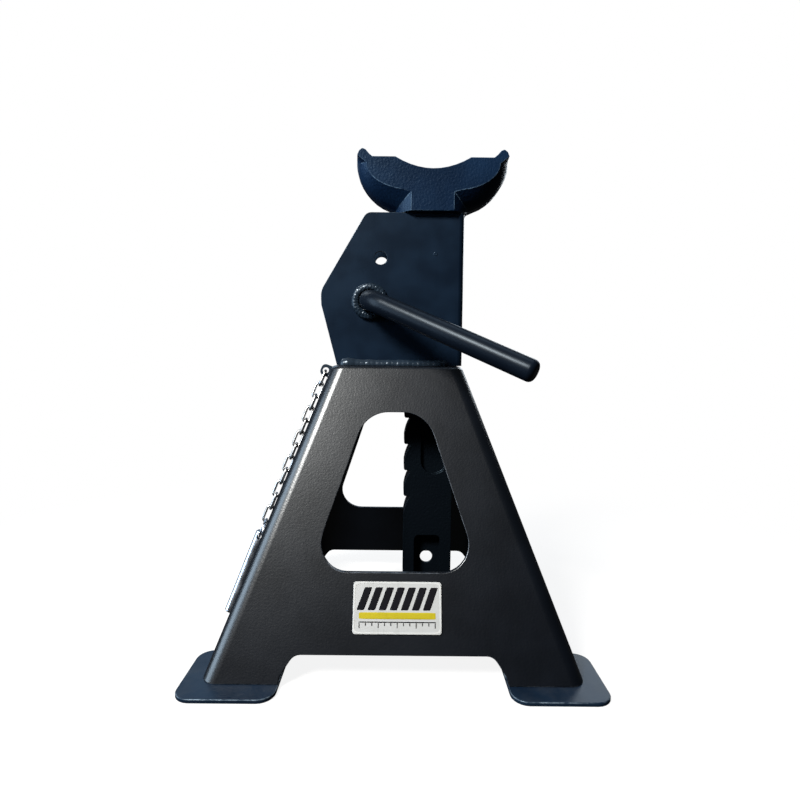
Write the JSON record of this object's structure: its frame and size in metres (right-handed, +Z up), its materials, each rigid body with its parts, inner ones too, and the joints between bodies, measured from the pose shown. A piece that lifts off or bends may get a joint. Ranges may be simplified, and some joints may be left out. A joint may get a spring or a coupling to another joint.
{
  "type": "ratchet axle jack stand",
  "caption": "Pyramid-based ratchet axle jack stand with a cast saddle post, a lever-operated pawl and a chained lock pin.",
  "frame": {"origin": "on the floor, under the middle of the base", "axes": "+Z up along the post, +X to the side where the handle points, +Y to the back"},
  "size_m": [0.29, 0.254, 0.3866],
  "materials": {
    "black_powder_coat": "semi-gloss black powder coat",
    "black_cast_iron": "sand-cast iron, dipped black, slightly glossy",
    "painted_weld": "weld bead and bar under black paint",
    "zinc_steel": "zinc plated steel",
    "label_foil": "printed silver label plate"
  },
  "bodies": {
    "stand": {"base_front_shell": "black_powder_coat", "base_rear_shell": "black_powder_coat", "chain_tab": "zinc_steel", "foot_plate_front_left": "black_powder_coat", "foot_plate_front_right": "black_powder_coat", "foot_plate_rear_left": "black_powder_coat", "foot_plate_rear_right": "black_powder_coat", "foot_weld_front_left": "painted_weld", "foot_weld_front_right": "painted_weld", "foot_weld_rear_left": "painted_weld", "foot_weld_rear_right": "painted_weld", "housing_weld_front": "painted_weld", "housing_weld_rear": "painted_weld", "label_plate": "label_foil", "post_guide_lower": "painted_weld", "post_guide_upper": "painted_weld", "post_wear_strip": "zinc_steel", "ratchet_housing": "black_powder_coat", "seam_weld_left_lower": "painted_weld", "seam_weld_left_upper": "painted_weld", "seam_weld_right_lower": "painted_weld", "seam_weld_right_upper": "painted_weld"},
    "post": {"ratchet_post": "black_cast_iron"},
    "handle_lever": {"handle": "black_powder_coat", "handle_collar": "painted_weld", "shaft_washer": "zinc_steel", "shaft_cotter": "zinc_steel", "pawl": "zinc_steel", "pawl_roll_pin": "zinc_steel"},
    "chain": {"chain_link_01": "zinc_steel", "chain_link_02": "zinc_steel", "chain_link_03": "zinc_steel", "chain_link_04": "zinc_steel", "chain_link_05": "zinc_steel", "chain_link_06": "zinc_steel", "chain_link_07": "zinc_steel", "chain_link_08": "zinc_steel", "chain_link_09": "zinc_steel", "chain_link_10": "zinc_steel", "chain_link_11": "zinc_steel", "chain_link_12": "zinc_steel"},
    "pin": {"pin_ring": "zinc_steel", "lock_pin": "zinc_steel"}
  },
  "joints": [
    {"name": "post_slide", "type": "slide", "parent": "stand", "child": "post", "axis": [0, 0, 1], "range_m": [0, 0.2152]},
    {"name": "handle_swing", "type": "hinge", "parent": "stand", "child": "handle_lever", "pos_m": [-0.0224, 0, 0.269], "axis": [0, -1, 0], "range_deg": [0, 34]},
    {"name": "chain_swing", "type": "hinge", "parent": "stand", "child": "chain", "pos_m": [-0.05828, -0.012, 0.21304], "axis": [-0.0685, 0.9806, -0.1838], "range_deg": [0, 60]},
    {"name": "pin_swing", "type": "hinge", "parent": "chain", "child": "pin", "pos_m": [-0.10202, -0.03704, 0.0957], "axis": [-0.0685, 0.9806, -0.1838], "range_deg": [0, 60]}
  ]
}
